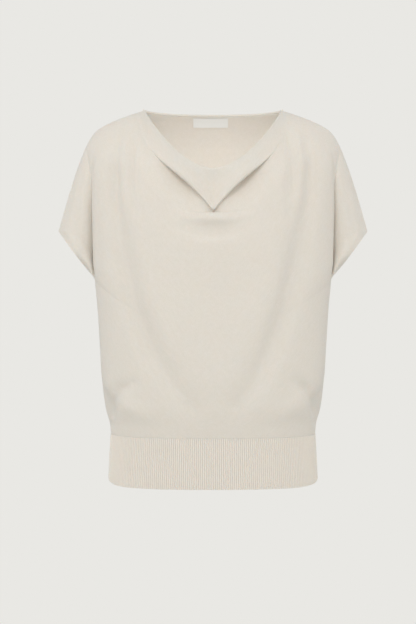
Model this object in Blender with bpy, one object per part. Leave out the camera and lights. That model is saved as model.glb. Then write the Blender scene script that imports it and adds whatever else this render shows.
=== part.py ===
# A cowl neck sweater: front and back with grown-on short sleeves, and a ribbed waistband.
# It keeps the form it has when worn, as hollow walls of knitted cloth.
# Frame: metres, +Z up, the front faces -Y. The origin is midway between the two
# shoulder-neck points, where the wearer's shoulders hold the garment.
# The tables give millimetres.

import math

import bpy
import numpy as np

mm = 0.001

# Cloth
wall = 1.6
seam_gap = 0.3
hem_width = 4.0
hem_extra = 0.9

# The neck edge, turned in
turn_gap = 4.4
turn_depth = 15.0

# Waistband
band_top = -502.0
band_bottom = -578.5
band_wall = 2.4
rib_height = 0.9
ribs_per_half = 140
inner_step = 4
band_section = 2.5

# Back neck finish and label
trim_height = 3.0
trim_wall = 2.4
label_width = 56.0
label_height = 13.0
label_drop = 1.2
label_offset = -3.5
label_wall = 0.6

# Outline seen from the front, right half. The left half mirrors it.
outline_columns = ("point", "x", "z")
overarm = [
    ("shoulder-neck point", 108.5, 0.0),
    ("shoulder", 159.0, -16.0),
    ("shoulder end", 183.0, -31.0),
    ("shoulder bend", 192.5, -43.0),
    ("upper arm", 207.0, -74.0),
    ("middle of the arm", 223.0, -121.0),
    ("sleeve tip", 240.5, -187.5),
]
side_seam = [
    ("underarm", 184.0, -261.0),
    ("below the arm", 183.0, -280.0),
    ("chest", 180.5, -300.0),
    ("waist", 176.0, -360.0),
    ("pouch", 172.0, -422.0),
    ("pouch bottom", 167.5, -460.0),
    ("gathered in", 161.0, -488.0),
    ("band seam", 160.0, band_top + seam_gap),
]
cuff_swell = 38.0

# The shoulder line goes on inwards over the neck as a roof, for the rounding of the cloth below it.
roof = [("other neck side", -60.0, 14.0), ("middle", 0.0, 20.0), ("neck side", 60.0, 14.0)] + overarm[:5]

# How far the middle of the front and of the back stands out, by height
depth_columns = ("z", "front", "back")
depth = [
    (22.0, 60.0, 88.0),
    (0.0, 64.0, 91.0),
    (-30.0, 81.0, 95.0),
    (-60.0, 97.0, 99.0),
    (-97.0, 111.0, 103.0),
    (-130.0, 115.0, 105.0),
    (-200.0, 119.0, 104.0),
    (-300.0, 119.0, 101.0),
    (-400.0, 118.0, 102.0),
    (-455.0, 114.5, 103.0),
    (-485.0, 108.5, 100.5),
    (-502.0, 105.0, 99.0),
]

# Rows of cloth. Each hangs from one edge of the panel to the other through its own middle.
# edge: 0 shoulder-neck point, 1 sleeve tip, 2 underarm, 3 band seam
# straight, power: the hanging line's straight share and the power of the rest
# push_middle, push_side: how far the row stands out of the plain form there, the first over its spread
# crest: where the body's own front turns back towards the sleeve
# section: half width of the body's section above the underarm. sleeve: 1 where the row runs on into a sleeve
row_columns = ("name", "edge", "middle_z", "straight", "power", "push_middle", "spread", "push_side",
               "crest", "section", "sleeve")
front_rows = [
    ("cowl edge", 0.000, -100.5, 0.00, 2.27, 0.0, 27, 2.5, 92.0, 200, 0),
    ("roll", 0.007, -107.0, 0.06, 2.30, -2.5, 27, 6.0, 92.5, 200, 0),
    ("cowl band", 0.015, -123.0, 0.28, 3.20, -6.0, 25, 8.5, 93.5, 200, 0),
    ("tongue", 0.023, -142.0, 0.54, 5.50, -4.0, 20, 9.5, 95.0, 200, 0),
    ("valley brow", 0.031, -156.0, 0.69, 7.50, 1.0, 15, 7.5, 96.5, 200, 0),
    ("valley", 0.042, -164.5, 0.71, 8.00, -7.0, 13, -9.5, 98.0, 200, 0),
    ("pocket", 0.065, -173.0, 0.48, 5.00, -11.0, 15, -1.5, 103.0, 200, 0),
    ("behind the lip", 0.100, -171.0, 0.18, 3.20, -3.0, 18, 1.0, 110.0, 200, 0),
    ("lip", 0.145, -166.5, 0.00, 2.60, 6.0, 26, 1.0, 121.0, 200, 0),
    ("lip front", 0.185, -174.5, 0.00, 2.40, 9.0, 30, 0.5, 130.0, 200, 0),
    ("under the lip", 0.230, -186.0, 0.00, 2.30, 4.0, 33, 0.5, 141.0, 200, 0),
    ("soft hollow", 0.285, -198.0, 0.00, 2.25, 1.0, 35, 0.0, 153.0, 200, 0),
    ("below the hollow", 0.345, -212.0, 0.00, 2.20, 3.0, 38, 0.0, 167.0, 200, 0),
    ("chest 1", 0.430, -230.0, 0.00, 2.15, 3.0, 40, 0.0, 178.0, 199, 0.55),
    ("chest 2", 0.540, -250.0, 0.00, 2.10, 2.0, 40, 0.0, 183.0, 196, 0.85),
    ("chest 3", 0.670, -269.0, 0.00, 2.05, 1.0, 40, 0.0, 184.5, 193, 1),
    ("chest 4", 0.790, -285.0, 0.00, 2.00, 0.0, 40, 0.0, 184.0, 191, 1),
    ("chest 5", 0.900, -299.0, 0.00, 2.00, 0.0, 40, 0.0, 183.5, 190, 1),
    ("sleeve tip", 1.000, -311.0, 0.00, 2.00, 0.0, 40, 0.0, 183.0, 189, 1),
    ("cuff 1", 1.200, -320.0, 0.00, 2.00, 0.0, 40, 0.0, 182.0, 188, 1),
    ("cuff 2", 1.420, -328.0, 0.00, 2.00, 0.0, 40, 0.0, 181.2, 187, 1),
    ("cuff 3", 1.640, -335.0, 0.00, 2.00, 0.0, 40, 0.0, 180.3, 186, 1),
    ("cuff 4", 1.840, -341.0, 0.00, 2.00, 0.0, 40, 0.0, 179.3, 185, 1),
    ("underarm", 2.000, -347.0, 0.00, 2.00, 0.0, 40, 0.0, 178.3, 184, 0),
    ("side 1", 2.080, -358.0, 0.00, 2.00, 0.0, 40, 0.0, 177.2, 184, 0),
    ("side 2", 2.190, -375.0, 0.00, 2.00, 0.0, 40, 0.0, 174.6, 184, 0),
    ("side 3", 2.320, -396.0, 0.00, 2.00, 0.0, 40, 0.0, 172.2, 184, 0),
    ("side 4", 2.450, -416.0, 0.00, 2.00, 0.0, 40, 0.0, 170.2, 184, 0),
    ("side 5", 2.590, -437.0, 0.00, 2.00, 0.0, 40, 0.0, 168.0, 184, 0),
    ("side 6", 2.710, -455.0, 0.00, 2.00, 0.0, 40, 0.0, 165.0, 184, 0),
    ("side 7", 2.810, -470.0, 0.00, 2.00, 0.0, 40, 0.0, 162.0, 184, 0),
    ("side 8", 2.890, -482.0, 0.00, 2.00, 0.0, 40, 0.0, 158.5, 184, 0),
    ("side 9", 2.950, -492.0, 0.00, 2.00, 0.0, 40, 0.0, 156.0, 184, 0),
    ("band seam", 3.000, band_top + seam_gap, 0.00, 2.00, 0.0, 40, 0.0, 155.2, 184, 0),
]
back_rows = [
    ("back neck", 0.000, -1.0, 0.00, 2.00, 0.0, 40, 0.0, 90.0, 205, 0),
    ("yoke 1", 0.060, -14.0, 0.00, 2.00, 0.0, 40, 0.0, 104.0, 205, 0),
    ("yoke 2", 0.150, -33.0, 0.00, 2.00, 0.0, 40, 0.0, 124.0, 205, 0),
    ("yoke 3", 0.250, -56.0, 0.00, 2.00, 0.0, 40, 0.0, 145.0, 205, 0),
    ("yoke 4", 0.345, -82.0, 0.00, 2.00, 0.0, 40, 0.0, 166.0, 205, 0),
    ("yoke 5", 0.430, -107.0, 0.00, 2.00, 0.0, 40, 0.0, 176.0, 204, 0.5),
    ("blade 1", 0.540, -136.0, 0.00, 2.00, 0.0, 40, 0.0, 181.0, 202, 0.8),
    ("blade 2", 0.670, -170.0, 0.00, 2.00, 0.0, 40, 0.0, 182.5, 199, 1),
    ("blade 3", 0.830, -208.0, 0.00, 2.00, 0.0, 40, 0.0, 182.5, 196, 1),
    ("sleeve tip", 1.000, -244.0, 0.00, 2.00, 0.0, 40, 0.0, 182.0, 193, 1),
    ("cuff 1", 1.200, -258.0, 0.00, 2.00, 0.0, 40, 0.0, 181.5, 191, 1),
    ("cuff 2", 1.420, -270.0, 0.00, 2.00, 0.0, 40, 0.0, 180.5, 189, 1),
    ("cuff 3", 1.640, -280.0, 0.00, 2.00, 0.0, 40, 0.0, 179.6, 187, 1),
    ("cuff 4", 1.840, -289.0, 0.00, 2.00, 0.0, 40, 0.0, 178.8, 185.5, 1),
    ("underarm", 2.000, -297.0, 0.00, 2.00, 0.0, 40, 0.0, 178.0, 184, 0),
    ("side 1", 2.100, -313.0, 0.00, 2.00, 0.0, 40, 0.0, 177.0, 184, 0),
    ("side 2", 2.270, -345.0, 0.00, 2.00, 0.0, 40, 0.0, 173.0, 184, 0),
    ("side 3", 2.440, -381.0, 0.00, 2.00, 0.0, 40, 0.0, 170.0, 184, 0),
    ("side 4", 2.610, -418.0, 0.00, 2.00, 0.0, 40, 0.0, 167.5, 184, 0),
    ("side 5", 2.750, -450.0, 0.00, 2.00, 0.0, 40, 0.0, 164.0, 184, 0),
    ("side 6", 2.850, -472.0, 0.00, 2.00, 0.0, 40, 0.0, 160.5, 184, 0),
    ("side 7", 2.930, -488.0, 0.00, 2.00, 0.0, 40, 0.0, 156.6, 184, 0),
    ("band seam", 3.000, band_top + seam_gap, 0.00, 2.00, 0.0, 40, 0.0, 155.2, 184, 0),
]

# A row that runs on into a sleeve goes from the crest into the fold at the armpit, then over the arm.
# across: share of the way from the crest to the edge. back: how far it has turned back there,
# as a share of the fold's depth. out: how much of the sleeve's own swell it has there.
sleeve_columns = ("share", "across", "back", "swell")
sleeve_path = [
    (0.0, 0.00, 0.00, 0.00),
    (0.14, 0.03, 0.50, 0.00),
    (0.28, 0.10, 1.00, 0.00),
    (0.43, 0.26, 0.90, 0.35),
    (0.57, 0.48, 0.45, 0.95),
    (0.71, 0.74, 0.12, 0.95),
    (0.86, 0.93, 0.00, 0.58),
    (1.0, 1.00, 0.00, 0.00),
]
front_fold_depth = 22.0
back_fold_depth = 13.0
sleeve_swell = 22.0
sleeve_room = 42.0
middle_depth = 112.0

# Folds of the front: a soft trough (depth below zero) or ridge along a path of x, z pairs
fold_columns = ("name", "depth", "width", "path")
front_folds = [
    ("left shoulder, outer", -4.0, 11.0, ((-143, -38), (-149, -90), (-150, -140), (-146, -195))),
    ("left shoulder, ridge", 2.5, 10.0, ((-128, -30), (-134, -80), (-136, -130), (-132, -180))),
    ("left shoulder, inner", -3.5, 9.0, ((-114, -25), (-120, -70), (-121, -115), (-116, -160))),
    ("left drape", -7.0, 19.0, ((-146, -140), (-137, -225), (-119, -305), (-93, -370), (-60, -425), (-33, -456))),
    ("left drape, inner swell", 3.5, 24.0, ((-112, -150), (-104, -230), (-88, -300), (-62, -360), (-25, -410))),
    ("left pinch", -6.5, 9.0, ((-163, -480), (-153, -450), (-140, -430), (-122, -420))),
    ("left pouch", 4.0, 14.0, ((-156, -428), (-130, -455), (-100, -468))),
    ("right shoulder, outer", -3.5, 11.0, ((141, -38), (147, -90), (147, -140), (142, -190))),
    ("right shoulder, ridge", 2.5, 10.0, ((126, -30), (131, -80), (132, -130), (128, -180))),
    ("right shoulder, inner", -4.0, 9.0, ((112, -25), (117, -70), (117, -115), (113, -165))),
    ("right drape", -7.0, 19.0, ((143, -140), (128, -225), (110, -300), (86, -368), (60, -425), (38, -452))),
    ("right drape, inner swell", 3.5, 24.0, ((108, -150), (96, -230), (78, -300), (52, -360), (18, -410))),
    ("right pinch", -6.5, 9.0, ((163, -476), (152, -448), (140, -430), (124, -418))),
    ("right pouch", 4.0, 14.0, ((155, -424), (130, -452), (98, -466))),
]
back_folds = [
    ("left blade", -4.0, 14.0, ((-140, -60), (-146, -130), (-140, -200), (-128, -270))),
    ("left drape", -6.0, 20.0, ((-150, -210), (-136, -300), (-112, -370), (-76, -430), (-40, -462))),
    ("left pinch", -5.0, 9.0, ((-162, -478), (-150, -446), (-132, -428))),
    ("right blade", -4.0, 14.0, ((138, -62), (143, -132), (137, -205), (124, -265))),
    ("right drape", -6.0, 20.0, ((147, -215), (132, -302), (104, -374), (70, -428), (36, -458))),
    ("right pinch", -5.0, 9.0, ((162, -475), (149, -450), (130, -432))),
]

# Where a row's side push is greatest, and its spread
side_place = 44.0
side_spread = 36.0

# Shape numbers
body_section = 2.5
shoulder_roll = 62.0
neck_roll = 130.0
back_neck_roll = 70.0
soft_point = 0.03
crest_share = 0.62
shortest_mitre = 0.6
inner_columns = 12
outer_columns = 7

cloth_colour = (0.72, 0.67, 0.60, 1.0)
rib_colour = (0.64, 0.58, 0.51, 1.0)
label_colour = (0.88, 0.88, 0.87, 1.0)


def column(table, columns, name):
    place = columns.index(name)
    return np.array([row[place] for row in table], dtype=float)


def curve(xs, ys, at):
    """A smooth line through the points, with no overshoot between them."""
    xs, ys, at = np.asarray(xs, float), np.asarray(ys, float), np.asarray(at, float)
    step = np.diff(xs)
    slope = np.diff(ys) / step
    tangent = np.zeros_like(ys)
    tangent[0], tangent[-1] = slope[0], slope[-1]
    both = slope[:-1] * slope[1:] > 0
    first = 2 * step[1:] + step[:-1]
    second = step[1:] + 2 * step[:-1]
    safe_a = np.where(both, slope[:-1], 1.0)
    safe_b = np.where(both, slope[1:], 1.0)
    tangent[1:-1] = np.where(both, (first + second) / (first / safe_a + second / safe_b), 0.0)
    span = np.clip(np.searchsorted(xs, at, side="right") - 1, 0, len(xs) - 2)
    t = np.clip((at - xs[span]) / step[span], 0.0, 1.0)
    low, high = ys[span], ys[span + 1]
    start = (1 + 2 * t) * (1 - t) ** 2 * low + t * (1 - t) ** 2 * step[span] * tangent[span]
    end = t * t * (3 - 2 * t) * high + t * t * (t - 1) * step[span] * tangent[span + 1]
    return start + end


def edge_point(edge):
    """x and z on the panel's outer edge, and how far the cuff's ring stands out there."""
    edge = np.asarray(edge, float)
    over_x, over_z = column(overarm, outline_columns, "x"), column(overarm, outline_columns, "z")
    length = np.concatenate([[0], np.cumsum(np.hypot(np.diff(over_x), np.diff(over_z)))])
    length = length / length[-1]
    side_x, side_z = column(side_seam, outline_columns, "x"), column(side_seam, outline_columns, "z")
    drop = (side_z - side_z[0]) / (side_z[-1] - side_z[0])
    on_cuff = np.clip(edge - 1, 0, 1)
    x = np.where(edge <= 1, curve(length, over_x, edge),
                 np.where(edge <= 2, over_x[-1] + (side_x[0] - over_x[-1]) * on_cuff,
                          curve(drop, side_x, edge - 2)))
    z = np.where(edge <= 1, curve(length, over_z, edge),
                 np.where(edge <= 2, over_z[-1] + (side_z[0] - over_z[-1]) * on_cuff,
                          curve(drop, side_z, edge - 2)))
    swell = cuff_swell * np.sin(math.pi * on_cuff)
    return x, z, swell


def body_depth(x, z, half_width, side):
    """Depth of the plain worn form, rounded at the sides and under the shoulder line."""
    middle = curve(-column(depth, depth_columns, "z"), column(depth, depth_columns, side), -z)
    section = (1 - np.clip(np.abs(x) / half_width, 0, 1) ** body_section) ** (1 / body_section)
    roof_z = curve(column(roof, outline_columns, "x"), column(roof, outline_columns, "z"), np.abs(x))
    near_neck = back_neck_roll if side == "back" else neck_roll
    roll = near_neck + (shoulder_roll - near_neck) * np.clip((np.abs(x) - 100) / 50, 0, 1)
    below = np.clip((roof_z - z) / roll, 0, 1)
    return middle * section * np.sqrt(1 - (1 - below) ** 2)


def fold_push(x, z, folds):
    """Sum of the folds' soft troughs and ridges, each fading out at its two ends."""
    total = np.zeros_like(x)
    for name, height, width, path in folds:
        points = np.array(path, float)
        lengths = np.hypot(*np.diff(points, axis=0).T)
        whole = lengths.sum()
        nearest = np.full(x.shape, 1e9)
        along = np.zeros_like(x)
        walked = 0.0
        for start, end, length in zip(points[:-1], points[1:], lengths):
            way = (end - start) / length
            t = np.clip((x - start[0]) * way[0] + (z - start[1]) * way[1], 0, length)
            away = np.hypot(x - start[0] - way[0] * t, z - start[1] - way[1] * t)
            along = np.where(away < nearest, (walked + t) / whole, along)
            nearest = np.minimum(nearest, away)
            walked += length
        total += height * np.exp(-(nearest / width) ** 2) * np.sin(math.pi * np.clip(along, 0.06, 0.94)) ** 0.6
    return total


def panel_grid(rows, steps, side):
    """Middle surface of the front or back: one row of points for each step, one column across."""
    sign = -1.0 if side == "front" else 1.0
    folds = front_folds if side == "front" else back_folds
    fold_depth = front_fold_depth if side == "front" else back_fold_depth
    place = np.arange(len(rows))

    def row_value(name):
        return curve(place, column(rows, row_columns, name), steps)[:, None]

    inner = np.arange(inner_columns + 1) / inner_columns
    outer = np.arange(1, outer_columns + 1) / outer_columns
    half = np.concatenate([crest_share * inner, crest_share + (1 - crest_share) * outer])
    across = np.concatenate([-half[::-1], half[1:]])[None, :]
    reach = np.abs(across)
    edge = row_value("edge")
    end_x, end_z, end_swell = edge_point(edge)
    crest = row_value("crest")

    # Across the body up to the crest, then on to the edge
    t = np.clip(reach / crest_share, 0, 1)
    c = np.clip((reach - crest_share) / (1 - crest_share), 0, 1)
    plain_x = crest * (0.72 * t + 0.28 * t * t) + (end_x - crest) * np.sin(c * math.pi / 2)
    share = np.clip(plain_x / end_x, 0, 1)
    soft = (np.sqrt(share ** 2 + soft_point ** 2) - soft_point) / (math.sqrt(1 + soft_point ** 2) - soft_point)
    straight = row_value("straight")
    hang = straight * soft + (1 - straight) * share ** row_value("power")
    z = row_value("middle_z") + (end_z - row_value("middle_z")) * hang

    # The plain form, the row's own pushes and the folds
    half_width = np.where(edge >= 2, end_x, row_value("section"))
    y = body_depth(plain_x, z, half_width, side)
    fade = 1 - c ** 2
    y = y + row_value("push_middle") * np.exp(-(plain_x / row_value("spread")) ** 2)
    y = y + fade * row_value("push_side") * np.exp(-((plain_x - side_place) / side_spread) ** 2)
    x = np.sign(across) * plain_x
    steep = body_section - 1
    lean_x = np.clip(plain_x / half_width, 0, 1) ** steep / half_width
    lean_y = np.clip(y / middle_depth, 0, 1) ** steep / middle_depth
    lean = np.hypot(lean_x, lean_y)
    push = fade * fold_push(x, z, folds)
    y = y + push * lean_y / lean
    plain_x = plain_x + push * lean_x / lean
    x = np.sign(across) * plain_x

    # On into the sleeve
    path = column(sleeve_path, sleeve_columns, "share")
    crest_y = y[:, [inner_columns + outer_columns + inner_columns]]
    room = np.clip((end_x - crest) / sleeve_room, 0, 1)
    fold_y = crest_y - fold_depth * room * curve(path, column(sleeve_path, sleeve_columns, "back"), c)
    settle = c ** 1.5
    arm_y = fold_y * (1 - settle) + end_swell * settle
    own_swell = sleeve_swell * room * (1 - 0.75 * end_swell / cuff_swell)
    arm_y = arm_y + own_swell * curve(path, column(sleeve_path, sleeve_columns, "swell"), c)
    arm_x = crest + (end_x - crest) * curve(path, column(sleeve_path, sleeve_columns, "across"), c)
    weight = row_value("sleeve") * (c > 0)
    x = np.sign(across) * (plain_x * (1 - weight) + arm_x * weight)
    y = y * (1 - weight) + arm_y * weight
    y = np.maximum(y, 0.0)

    points = np.stack([x, sign * (y + seam_gap / 2), z], axis=2)
    return points, edge[:, 0]


def grid_normals(points, sign):
    """Directions out of the garment at a grid's points, the mean of the faces around each.

    They are longer at sharp folds, as a mitre is, so that a wall drawn along them keeps its thickness.
    """
    a, b = points[:-1, :-1], points[:-1, 1:]
    c, d = points[1:, 1:], points[1:, :-1]
    face = np.cross(c - b, d - a) + np.cross(d - b, c - a)
    face = face / np.maximum(np.linalg.norm(face, axis=2, keepdims=True), 1e-9)
    corners = ((slice(0, -1), slice(0, -1)), (slice(0, -1), slice(1, None)),
               (slice(1, None), slice(0, -1)), (slice(1, None), slice(1, None)))
    total = np.zeros_like(points)
    for corner in corners:
        total[corner] += face
    unit = total / np.maximum(np.linalg.norm(total, axis=2, keepdims=True), 1e-9)
    agree = np.ones(points.shape[:2])
    for corner in corners:
        agree[corner] = np.minimum(agree[corner], (unit[corner] * face).sum(axis=2))
    return sign * unit / np.clip(agree, shortest_mitre, 1.0)[:, :, None]


def turned_edge(points, normals):
    """Rows added above the cowl's edge: the cloth turns over it and hangs a little way down inside."""
    rim, below = points[0], points[2]
    down = below - rim
    down = down / np.linalg.norm(down, axis=1, keepdims=True)
    inward = -(normals[0] + normals[1])
    inward[:, 1] = np.where(np.abs(rim[:, 1]) < 1.0, 0.0, inward[:, 1])
    down[:, 1] = np.where(np.abs(rim[:, 1]) < 1.0, 0.0, down[:, 1])
    inward = inward - down * (inward * down).sum(axis=1, keepdims=True)
    inward = inward / np.linalg.norm(inward, axis=1, keepdims=True)
    half_turn = turn_gap / 2
    added = []
    for inside, under in ((2.0, turn_depth), (2.0, turn_depth / 2), (1.9, 1.6), (1.0, -1.2)):
        added.append(rim + inward * half_turn * inside + down * under)
    return np.concatenate([np.stack(added), points])


def wall_faces(middle, outward_first):
    """Faces of a closed wall made from an outer and an inner grid of points.

    Both grids split each cell along the same diagonal, the shorter one, so the wall keeps its thickness.
    """
    rows, columns = middle.shape[:2]
    first = np.linalg.norm(middle[:-1, :-1] - middle[1:, 1:], axis=2)
    second = np.linalg.norm(middle[:-1, 1:] - middle[1:, :-1], axis=2)
    faces = []
    count = rows * columns

    def add(*corners):
        faces.append(corners if outward_first else corners[::-1])

    for i in range(rows - 1):
        for j in range(columns - 1):
            a = i * columns + j
            b, c, d = a + columns, a + columns + 1, a + 1
            halves = ((a, b, c), (a, c, d)) if first[i, j] < second[i, j] else ((a, b, d), (b, c, d))
            for half in halves:
                add(*half)
                add(*(count + corner for corner in reversed(half)))
    for j in range(columns - 1):
        low = (rows - 1) * columns + j
        add(count + j, j, j + 1, count + j + 1)
        add(low, count + low, count + low + 1, low + 1)
    for i in range(rows - 1):
        a, b = i * columns, (i + 1) * columns
        add(count + a, count + b, b, a)
        add(a + columns - 1, b + columns - 1, count + b + columns - 1, count + a + columns - 1)
    return faces


def material(name, colour, roughness):
    made = bpy.data.materials.new(name)
    made.use_nodes = True
    shader = made.node_tree.nodes["Principled BSDF"]
    shader.inputs["Base Color"].default_value = colour
    shader.inputs["Roughness"].default_value = roughness
    made.diffuse_color = colour
    return made


def add_object(name, points, faces, finish, smooth=True):
    mesh = bpy.data.meshes.new(name)
    mesh.from_pydata([tuple(p) for p in np.asarray(points).reshape(-1, 3) * mm], [], faces)
    mesh.update()
    if smooth:
        mesh.shade_smooth()
    mesh.materials.append(finish)
    made = bpy.data.objects.new(name, mesh)
    bpy.context.scene.collection.objects.link(made)
    made.parent = garment
    return made


def panel(name, rows, side, finish):
    """Front or back as a closed wall, thicker along the turned hem of the cuffs."""
    sign = -1.0 if side == "front" else 1.0
    points, edge = panel_grid(rows, np.arange(len(rows), dtype=float), side)
    facing = -1.0 if side == "back" else 1.0
    if side == "front":
        points = turned_edge(points, grid_normals(points, facing))
        edge = np.concatenate([np.zeros(4), edge])
    normals = grid_normals(points, facing)
    on_seam = (edge <= 1.0) | (edge >= 2.0)
    for end, hand in ((0, -1.0), (-1, 1.0)):
        along = np.gradient(points[:, end], axis=0)[on_seam]
        flat = np.stack([-along[:, 2], 0 * along[:, 1], along[:, 0]], axis=1) * hand
        normals[on_seam, end] = flat / np.linalg.norm(flat, axis=1, keepdims=True)
    thick = np.full(points.shape[:2], wall / 2)
    on_cuff = (edge > 1.0) & (edge < 2.0)
    for end in (0, -1):
        thick[on_cuff, end] += hem_extra / 2
    outer = points + normals * thick[:, :, None]
    inner = points - normals * thick[:, :, None]
    seam_y = sign * seam_gap / 2
    for grid in (outer, inner):
        for end in (0, -1):
            grid[on_seam, end, 1] = seam_y
    outer[-1, :, 2] = inner[-1, :, 2] = band_top + seam_gap
    faces = wall_faces(points, side == "front")
    add_object(name, np.concatenate([outer.reshape(-1, 3), inner.reshape(-1, 3)]), faces, finish)
    return points, normals


def band_loop(angle, z, side, push):
    """Point on the waistband: angle runs from one side seam to the other."""
    down = (band_top - z) / (band_top - band_bottom)
    half_width = 160.0 + 4.0 * down
    half_depth = (103.0 if side == "front" else 98.0) + 3.0 * down
    power = 2 / band_section
    x = -half_width * np.sign(np.cos(angle)) * np.abs(np.cos(angle)) ** power
    y = half_depth * np.sin(angle) ** power
    outward = np.stack([x / half_width ** 2, y / half_depth ** 2])
    outward = outward / np.linalg.norm(outward, axis=0)
    return x + outward[0] * push, y + outward[1] * push


def even_angles(count, side):
    """Angles that divide the waistband's half loop into even lengths."""
    fine = np.linspace(0, math.pi, 4001)
    x, y = band_loop(fine, band_top, side, 0.0)
    length = np.concatenate([[0], np.cumsum(np.hypot(np.diff(x), np.diff(y)))])
    return np.interp(np.linspace(0, length[-1], count + 1), length, fine)


def waistband(name, side, finish):
    """Half of the ribbed waistband: ribs raised in the outer points over a plain inside."""
    sign = -1.0 if side == "front" else 1.0
    count = 2 * ribs_per_half
    angles = even_angles(count, side)
    raised = np.where(np.arange(count + 1) % 2 == 1, rib_height, 0.0)
    levels = (band_top, band_bottom)
    points = []
    for z in levels:
        x, y = band_loop(angles, z, side, band_wall / 2 + raised)
        points += [(a, sign * (max(b, 0.0) + seam_gap / 2), z) for a, b in zip(x, y)]
    inner_angles = angles[::inner_step]
    for z in levels:
        x, y = band_loop(inner_angles, z, side, -band_wall / 2)
        points += [(a, sign * (max(b, 0.0) + seam_gap / 2), z) for a, b in zip(x, y)]
    outer_top, outer_low = 0, count + 1
    inner_top = 2 * (count + 1)
    inner_low = inner_top + len(inner_angles)
    faces = []
    for j in range(count):
        faces.append((outer_top + j, outer_low + j, outer_low + j + 1, outer_top + j + 1))
    for k in range(len(inner_angles) - 1):
        faces.append((inner_top + k + 1, inner_low + k + 1, inner_low + k, inner_top + k))
        first = k * inner_step
        half = first + inner_step // 2
        for j in range(first, first + inner_step):
            near = k if j < half else k + 1
            faces.append((outer_top + j, outer_top + j + 1, inner_top + near))
            faces.append((outer_low + j + 1, outer_low + j, inner_low + near))
        faces.append((outer_top + half, inner_top + k + 1, inner_top + k))
        faces.append((outer_low + half, inner_low + k, inner_low + k + 1))
    last = len(inner_angles) - 1
    faces.append((outer_low, outer_top, inner_top, inner_low))
    faces.append((outer_top + count, outer_low + count, inner_low + last, inner_top + last))
    if side == "back":
        faces = [tuple(reversed(face)) for face in faces]
    add_object(name, np.array(points), faces, finish, smooth=False)


def back_neck_trim(points, normals, finish):
    """A narrow finish standing on the back's neck edge, from one shoulder to the other."""
    edge, away = points[0], normals[0].copy()
    away[:, 2] = 0.0
    away[[0, -1]] = (0.0, 1.0, 0.0)
    away = away / np.linalg.norm(away, axis=1, keepdims=True)
    rise = np.array([0.0, 0.0, 1.0])
    keep = slice(1, -1)
    base = edge[keep] + rise * (seam_gap + 0.5)
    out = away[keep]
    grid = np.stack([base + rise * trim_height, base])
    outer = grid + out[None] * trim_wall / 2
    inner = grid - out[None] * trim_wall / 2
    faces = wall_faces(grid, False)
    add_object("back_neck_trim", np.concatenate([outer.reshape(-1, 3), inner.reshape(-1, 3)]), faces, finish)


def label(points, normals, finish):
    """A blank label lying on the inside of the back, just under the neck."""
    middle = points.shape[1] // 2
    heights = np.array([0.0, 0.5, 1.0])
    places = np.linspace(-0.5, 0.5, 9)
    grid = []
    facing = []
    for drop in heights:
        z = points[0, middle, 2] - label_drop - label_height * drop
        row_points, row_normals = [], []
        for share in places:
            x = label_offset + label_width * share
            stations = []
            for line, line_normals in zip(points[:5], normals[:5]):
                place = np.interp(x, line[:, 0], np.arange(len(line)))
                low = int(place)
                part = place - low
                stations.append(np.concatenate([line[low] * (1 - part) + line[low + 1] * part,
                                                line_normals[low] * (1 - part) + line_normals[low + 1] * part]))
            stations = np.array(stations)[::-1]
            row_points.append([x, np.interp(z, stations[:, 2], stations[:, 1]), z])
            row_normals.append([np.interp(z, stations[:, 2], stations[:, 3 + k]) for k in range(3)])
        grid.append(row_points)
        facing.append(row_normals)
    grid, facing = np.array(grid), np.array(facing)
    facing = facing / np.linalg.norm(facing, axis=2, keepdims=True)
    near = grid - facing * (wall / 2 + seam_gap)
    far = near - facing * label_wall
    faces = wall_faces(grid, False)
    add_object("label", np.concatenate([near.reshape(-1, 3), far.reshape(-1, 3)]), faces, finish)


for old in list(bpy.data.objects):
    bpy.data.objects.remove(old, do_unlink=True)

garment = bpy.data.objects.new("garment", None)
bpy.context.scene.collection.objects.link(garment)

knit = material("oatmeal fine knit", cloth_colour, 0.92)
rib_knit = material("oatmeal rib knit", rib_colour, 0.94)
satin = material("white label satin", label_colour, 0.6)

panel("front", front_rows, "front", knit)
back_points, back_normals = panel("back", back_rows, "back", knit)
waistband("waistband_front", "front", rib_knit)
waistband("waistband_back", "back", rib_knit)
back_neck_trim(back_points, back_normals, knit)
label(back_points, back_normals, satin)
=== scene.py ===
# A cowl neck sweater in oatmeal fine knit, filled out as worn, drawn round the imported frame.
# The front faces -Y and +Z is up. The dictionaries give millimetres, but metres for the studio.
import math

import bpy
import numpy as np
from mathutils import Matrix, Vector


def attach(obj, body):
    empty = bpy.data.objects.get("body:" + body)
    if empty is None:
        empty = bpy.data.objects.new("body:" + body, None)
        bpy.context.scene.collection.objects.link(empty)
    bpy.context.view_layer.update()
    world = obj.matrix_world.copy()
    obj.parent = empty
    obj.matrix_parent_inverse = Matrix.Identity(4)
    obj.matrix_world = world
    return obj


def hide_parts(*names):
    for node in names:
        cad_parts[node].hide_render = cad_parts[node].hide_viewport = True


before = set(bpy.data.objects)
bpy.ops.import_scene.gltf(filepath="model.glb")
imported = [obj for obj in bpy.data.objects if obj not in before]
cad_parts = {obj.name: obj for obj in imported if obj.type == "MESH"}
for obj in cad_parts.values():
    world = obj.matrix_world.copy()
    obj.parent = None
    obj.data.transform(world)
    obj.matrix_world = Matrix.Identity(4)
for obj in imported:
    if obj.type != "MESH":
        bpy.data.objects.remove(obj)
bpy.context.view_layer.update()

mm = 0.001

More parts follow.
